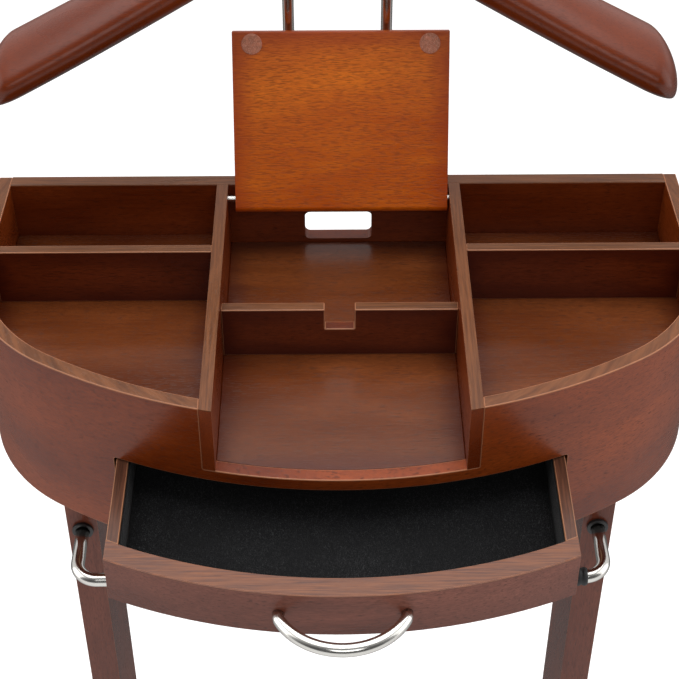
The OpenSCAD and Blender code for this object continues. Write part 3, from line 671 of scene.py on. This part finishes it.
def hanger_arm(side):
    """Contoured shoulder: a broad rounded section that droops and sweeps forward to a full round end."""
    sign = 1 if side == "right" else -1
    place = Vector((HANGER_X, middle("left_post").y, RIM_Z + HANGER_UP))
    turn = Matrix.Rotation(math.radians(HANGER_TURN), 3, "Z")
    tip_run = math.hypot(ARM_HALF, ARM_NECK) - ARM_NECK
    rings = []
    for i in range(ARM_ROWS + CAP_ROWS + 1):
        if i <= ARM_ROWS:
            u = i / ARM_ROWS * CAP_START
            shrink = 1
        else:
            into = math.sin(math.pi / 2 * (i - ARM_ROWS) / (CAP_ROWS + CAP_SHORT))
            u = CAP_START + (1 - CAP_START) * into
            shrink = (1 - into**CAP_ROUND) ** (1 / CAP_ROUND)
        x = u * ARM_HALF
        run = math.hypot(x, ARM_NECK)
        dip = math.atan(ARM_SLOPE * x / run + 2 * ARM_CURVE * x)
        grow = ARM_WAIST + (1 - ARM_WAIST) * math.sin(math.pi / 2 * min(1, u / ARM_WAIST_END))
        half_h = ARM_THICK / 2 * shrink
        ring = []
        for across, up in circle(ARM_SIDES):
            # The upper half is a little fuller than the lower half, which is a plain round.
            lift = half_h * (up**ROOF_POWER if up > 0 else up) - (ARM_THICK / 2 - half_h) * CAP_BIAS
            ring.append(place + turn @ Vector((
                sign * (x + lift * math.sin(dip)),
                ARM_DEPTH / 2 * grow * shrink * across - ARM_SWEEP * (run - ARM_NECK) / tip_run,
                lift * math.cos(dip) - ARM_SLOPE * (run - ARM_NECK) - ARM_CURVE * x * x)))
        rings.append(ring)
    return skin_rings(rings)


def build_hanger():
    for i, side in enumerate(("left", "right")):
        body = wood(f"wood_hanger_{side}", STAIN_HANGER_SHADED, "x", seed=HANGER_SEED + i, gloss=HANGER_GLOSS,
                    coat=HANGER_COAT, contrast=HANGER_CONTRAST)
        arm = hanger_arm(side)
        new_piece(f"hanger_{side}", arm, body, "stand", [f"hanger_{side}_arm"])


def bow_y(x, radius, centre_y=DRAWER_BOW_Y):
    return centre_y - math.sqrt(radius * radius - x * x)


# The pull's ends reach PULL_FOOT_IN into the drawer's face, and its bow starts PULL_BOW_START before it.
PULL_FOOT_IN = 0.2 * MM
PULL_BOW_START = 4 * MM
# How much the bar narrows towards its ends, and its height against the box.
PULL_THIN = 0.10
PULL_TALL = 0.98


def build_pull():
    """Bow pull: a round bar, a little narrower towards its two square-cut ends."""
    box_low, box_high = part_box("drawer_pull")
    mid_z = (box_low.z + box_high.z) / 2
    r = (box_high.z - box_low.z) / 2
    half_c = box_high.x - r
    tip_y = box_low.y + r
    foot_y = bow_y(half_c, BOW_R)
    rise = foot_y - PULL_BOW_START - tip_y
    bow = (half_c**2 + rise**2) / (2 * rise)
    spread = math.asin(half_c / bow)
    steps, sides = 72, 36
    path = [Vector((-half_c, foot_y + PULL_FOOT_IN, mid_z))]
    for i in range(steps + 1):
        a = -spread + 2 * spread * i / steps
        path.append(Vector((bow * math.sin(a), tip_y + bow - bow * math.cos(a), mid_z)))
    path.append(Vector((half_c, foot_y + PULL_FOOT_IN, mid_z)))
    radii = []
    for p in path:
        thin = 1 - PULL_THIN * (abs(p.x) / half_c) ** 2
        radii.append((r * thin, r * PULL_TALL))
    mesh = sweep(path, radii, sides)
    metal = nickel("nickel_pull", "x", rough=0.17)
    new_piece("bow_pull", mesh, metal, "drawer", ["drawer_pull"])


# The trouser bar's radius of bend along its middle line, and the short straight length behind each bend.
BAR_BEND = 15 * MM
BAR_STRAIGHT = 1 * MM
SLEEVE_RIBS = 80
SLEEVE_CORE = 0.9 * MM


def build_bar():
    """Trouser bar: one rod bent twice, and its ribbed rubber sleeve."""
    box_low, box_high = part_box("trouser_bar")
    r = (box_high.z - box_low.z) / 2
    mid_z = middle("trouser_bar").z
    half_x = box_high.x - r
    front_y = box_low.y + r
    end_y = box_high.y
    bend = BAR_BEND
    path = [Vector((-half_x, end_y, mid_z)), Vector((-half_x, front_y + bend + BAR_STRAIGHT, mid_z))]
    steps = 20
    for i in range(steps + 1):
        a = math.pi / 2 * i / steps
        x = -half_x + bend - bend * math.cos(a)
        path.append(Vector((x, front_y + bend - bend * math.sin(a), mid_z)))
    for x in (-0.6, -0.2, 0.2, 0.6):
        path.append(Vector((x * half_x, front_y, mid_z)))
    for i in range(steps + 1):
        a = math.pi / 2 * i / steps
        x = half_x - bend + bend * math.sin(a)
        path.append(Vector((x, front_y + bend - bend * math.cos(a), mid_z)))
    path += [Vector((half_x, front_y + bend + BAR_STRAIGHT, mid_z)), Vector((half_x, end_y, mid_z))]
    metal = nickel("nickel_bar", "x", rough=0.16)
    mesh = sweep(path, [(r, r)] * len(path))
    new_piece("bent_bar", mesh, metal, "stand", ["trouser_bar"])

    sleeve_low, sleeve_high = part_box("bar_sleeve")
    outer, core = (sleeve_high.z - sleeve_low.z) / 2, r + SLEEVE_CORE
    length = sleeve_high.x - sleeve_low.x
    rings = []
    rows = SLEEVE_RIBS * 6
    sides = 40
    for i in range(rows + 1):
        x = sleeve_low.x + length * i / rows
        swell = 0.5 - 0.5 * math.cos(2 * math.pi * SLEEVE_RIBS * i / rows)
        size = core + (outer - core) * swell**0.6
        rings.append([Vector((x, front_y + size * c, mid_z + size * s)) for c, s in circle(sides)])
    cover = rubber("sleeve_rubber")
    new_piece("ribbed_sleeve", skin_rings(rings), cover, "stand", ["bar_sleeve"])


def fuzz(point, size, amount):
    """A small repeatable unevenness at a point, for pile and pressed fibre."""
    return amount * noise.noise(Vector(point) / size)


def build_drawer_felt():
    """The felt on the drawer's bottom: one sheet with a faintly uneven pile."""
    box_low, box_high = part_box("drawer_felt")
    half = box_high.x - FELT_T - FELT_GAP
    rear = box_high.y - FELT_T - FELT_GAP
    inner_r = BOW_R - DRAWER_FRONT_T - FELT_T - FELT_GAP
    columns, rows = 110, 88
    mesh = bpy.data.meshes.new("felt")
    bm = bmesh.new()
    top, bottom = [], []
    for i in range(columns + 1):
        x = -half + 2 * half * i / columns
        front = bow_y(x, inner_r)
        line_top, line_bottom = [], []
        for j in range(rows + 1):
            y = front + (rear - front) * j / rows
            pile = fuzz((x, y, 0), 2.2 * MM, 0.10 * MM) + fuzz((x, y, 1), 14 * MM, 0.12 * MM)
            line_top.append(bm.verts.new((x, y, box_high.z - 0.15 * MM + pile)))
            line_bottom.append(bm.verts.new((x, y, box_low.z)))
        top.append(line_top)
        bottom.append(line_bottom)
    for i in range(columns):
        for j in range(rows):
            bm.faces.new((top[i][j], top[i + 1][j], top[i + 1][j + 1], top[i][j + 1]))
            bm.faces.new((bottom[i][j], bottom[i][j + 1], bottom[i + 1][j + 1], bottom[i + 1][j]))
    for i in range(columns):
        bm.faces.new((top[i][0], bottom[i][0], bottom[i + 1][0], top[i + 1][0]))
        bm.faces.new((top[i][rows], top[i + 1][rows], bottom[i + 1][rows], bottom[i][rows]))
    for j in range(rows):
        bm.faces.new((top[0][j], top[0][j + 1], bottom[0][j + 1], bottom[0][j]))
        bm.faces.new((top[columns][j], bottom[columns][j], bottom[columns][j + 1], top[columns][j + 1]))
    bmesh.ops.recalc_face_normals(bm, faces=bm.faces)
    area = sum(f.calc_area() for f in bm.faces if f.normal.z > 0.7)
    bm.to_mesh(mesh)
    bm.free()
    cloth = felt("black_felt", (0.0065, 0.0065, 0.0070), (0.075, 0.076, 0.079))
    sheet = new_piece("felt_floor", mesh, cloth, "drawer", ["drawer_felt"])
    return cloth


def build_drawer_lining(cloth):
    """The felt band on the drawer's walls, with a soft rolled top edge."""
    box_low, box_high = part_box("drawer_lining")
    t = FELT_T
    half = box_high.x
    rear = box_high.y
    inner_r = BOW_R - DRAWER_FRONT_T
    gap = 0.03 * MM
    outline = []
    steps = 60
    for i in range(steps + 1):
        x = -half + gap + (2 * half - 2 * gap) * i / steps
        inward = Vector((-x, DRAWER_BOW_Y - bow_y(x, inner_r), 0)).normalized()
        outline.append((x, bow_y(x, inner_r - gap), inward))
    corner = bow_y(half, inner_r)
    side_steps = 50
    for i in range(1, side_steps):
        y = corner + (rear - corner) * i / side_steps
        outline.append((half - gap, y, Vector((-1, 0, 0))))
    for i in range(steps + 1):
        x = half - gap - (2 * half - 2 * gap) * i / steps
        outline.append((x, rear - gap, Vector((0, -1, 0))))
    for i in range(1, side_steps):
        y = rear - (rear - corner) * i / side_steps
        outline.append((-half + gap, y, Vector((1, 0, 0))))
    # Section of the band: (inwards, up) from the wall's face at the bottom, with a rounded top.
    tall = box_high.z - box_low.z
    section = [(0, 0), (t, 0), (t, tall * 0.25), (t, tall * 0.5), (t, tall * 0.75), (t, tall - 0.6 * MM),
               (0.85 * t, tall - 0.25 * MM), (0.5 * t, tall - 0.08 * MM), (0.15 * t, tall - 0.2 * MM),
               (0, tall - 0.5 * MM)]
    rings = []
    for x, y, inward in outline:
        ring = []
        for k, (into, up) in enumerate(section):
            place = Vector((x, y, box_low.z + up)) + inward * into
            if into > 0.4 * t:
                place += inward * fuzz(place, 2.4 * MM, 0.08 * MM)
            ring.append(place)
        rings.append(ring)
    rings.append([p.copy() for p in rings[0]])
    mesh = skin_rings(rings, close_ends=False)
    bm = bmesh.new()
    bm.from_mesh(mesh)
    bmesh.ops.remove_doubles(bm, verts=bm.verts, dist=0.001 * MM)
    bmesh.ops.recalc_face_normals(bm, faces=bm.faces)
    bm.to_mesh(mesh)
    bm.free()
    band = new_piece("felt_band", mesh, cloth, "drawer", ["drawer_lining"])


# How far a pad's cut edge wanders, as a part of its radius.
PAD_RAGGED = 0.012


def build_lid_pads():
    """Two round brown felt pads near the lid's free corners."""
    cloth = felt("brown_felt", (0.66, 0.25, 0.155), (0.95, 0.66, 0.54))
    lid_low, lid_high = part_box("lid_pads")
    hinge = next(j for j in frame["joints"] if j["name"] == "lid_hinge")
    pivot = Vector(hinge["pos_m"])
    centre = (lid_low + lid_high) / 2
    lean = math.radians(hinge["range_deg"][1]) - math.pi / 2
    along = Vector((0, math.sin(lean), math.cos(lean)))
    out = Vector((0, -math.cos(lean), math.sin(lean)))
    radius = (lid_high.z - lid_low.z - FELT_T * math.sin(lean)) / (2 * math.cos(lean))
    base = pivot + along * (centre - pivot).dot(along) + out * ((centre - pivot).dot(out) - FELT_T / 2)
    sides, rows = 96, 12
    for side, name in ((-1, "left"), (1, "right")):
        middle_x = lid_low.x + radius if side < 0 else lid_high.x - radius
        rings = []
        profile = [(1.0, 0.0), (1.0, 0.55), (0.985, 0.8), (0.955, 0.95)]
        profile += [(0.955 * (rows - i) / rows, 1.0) for i in range(1, rows)]
        for reach, up in profile:
            ring = []
            for j in range(sides):
                a = 2 * math.pi * j / sides
                spot = Vector((side * 7 + math.cos(a) * 9, math.sin(a) * 9, up))
                r = radius * reach * (1 - PAD_RAGGED * abs(noise.noise(spot)))
                place = base + along * r * math.sin(a)
                place.x = middle_x + r * math.cos(a)
                lift = FELT_T * up
                if up > 0.9:
                    lift -= abs(fuzz((place.x, place.z, side), 1.3 * MM, 0.16 * MM))
                ring.append(place + out * lift)
            rings.append(ring)
        pad = new_piece(f"felt_pad_{name}", skin_rings(rings), cloth, "lid", ["lid_pads"])


FLOOR_REACH = 9


def build_floor():
    """A plain white sheet, seen by the camera and hidden from the object's bounced and reflected rays."""
    mesh = bpy.data.meshes.new("floor")
    corners = [(x * FLOOR_REACH, y * FLOOR_REACH, 0) for x, y in ((-1, -1), (1, -1), (1, 1), (-1, 1))]
    mesh.from_pydata(corners, [], [(0, 1, 2, 3)])
    floor = bpy.data.objects.new("floor", mesh)
    bpy.context.scene.collection.objects.link(floor)
    mesh.materials.append(paper_white("floor_white"))
    floor.visible_diffuse = False
    floor.visible_glossy = False


place_camera()
light_studio()
build_floor()
finish_boards()
finish_metal()
build_hanger()
build_pull()
build_bar()
black_felt = build_drawer_felt()
build_drawer_lining(black_felt)
build_lid_pads()
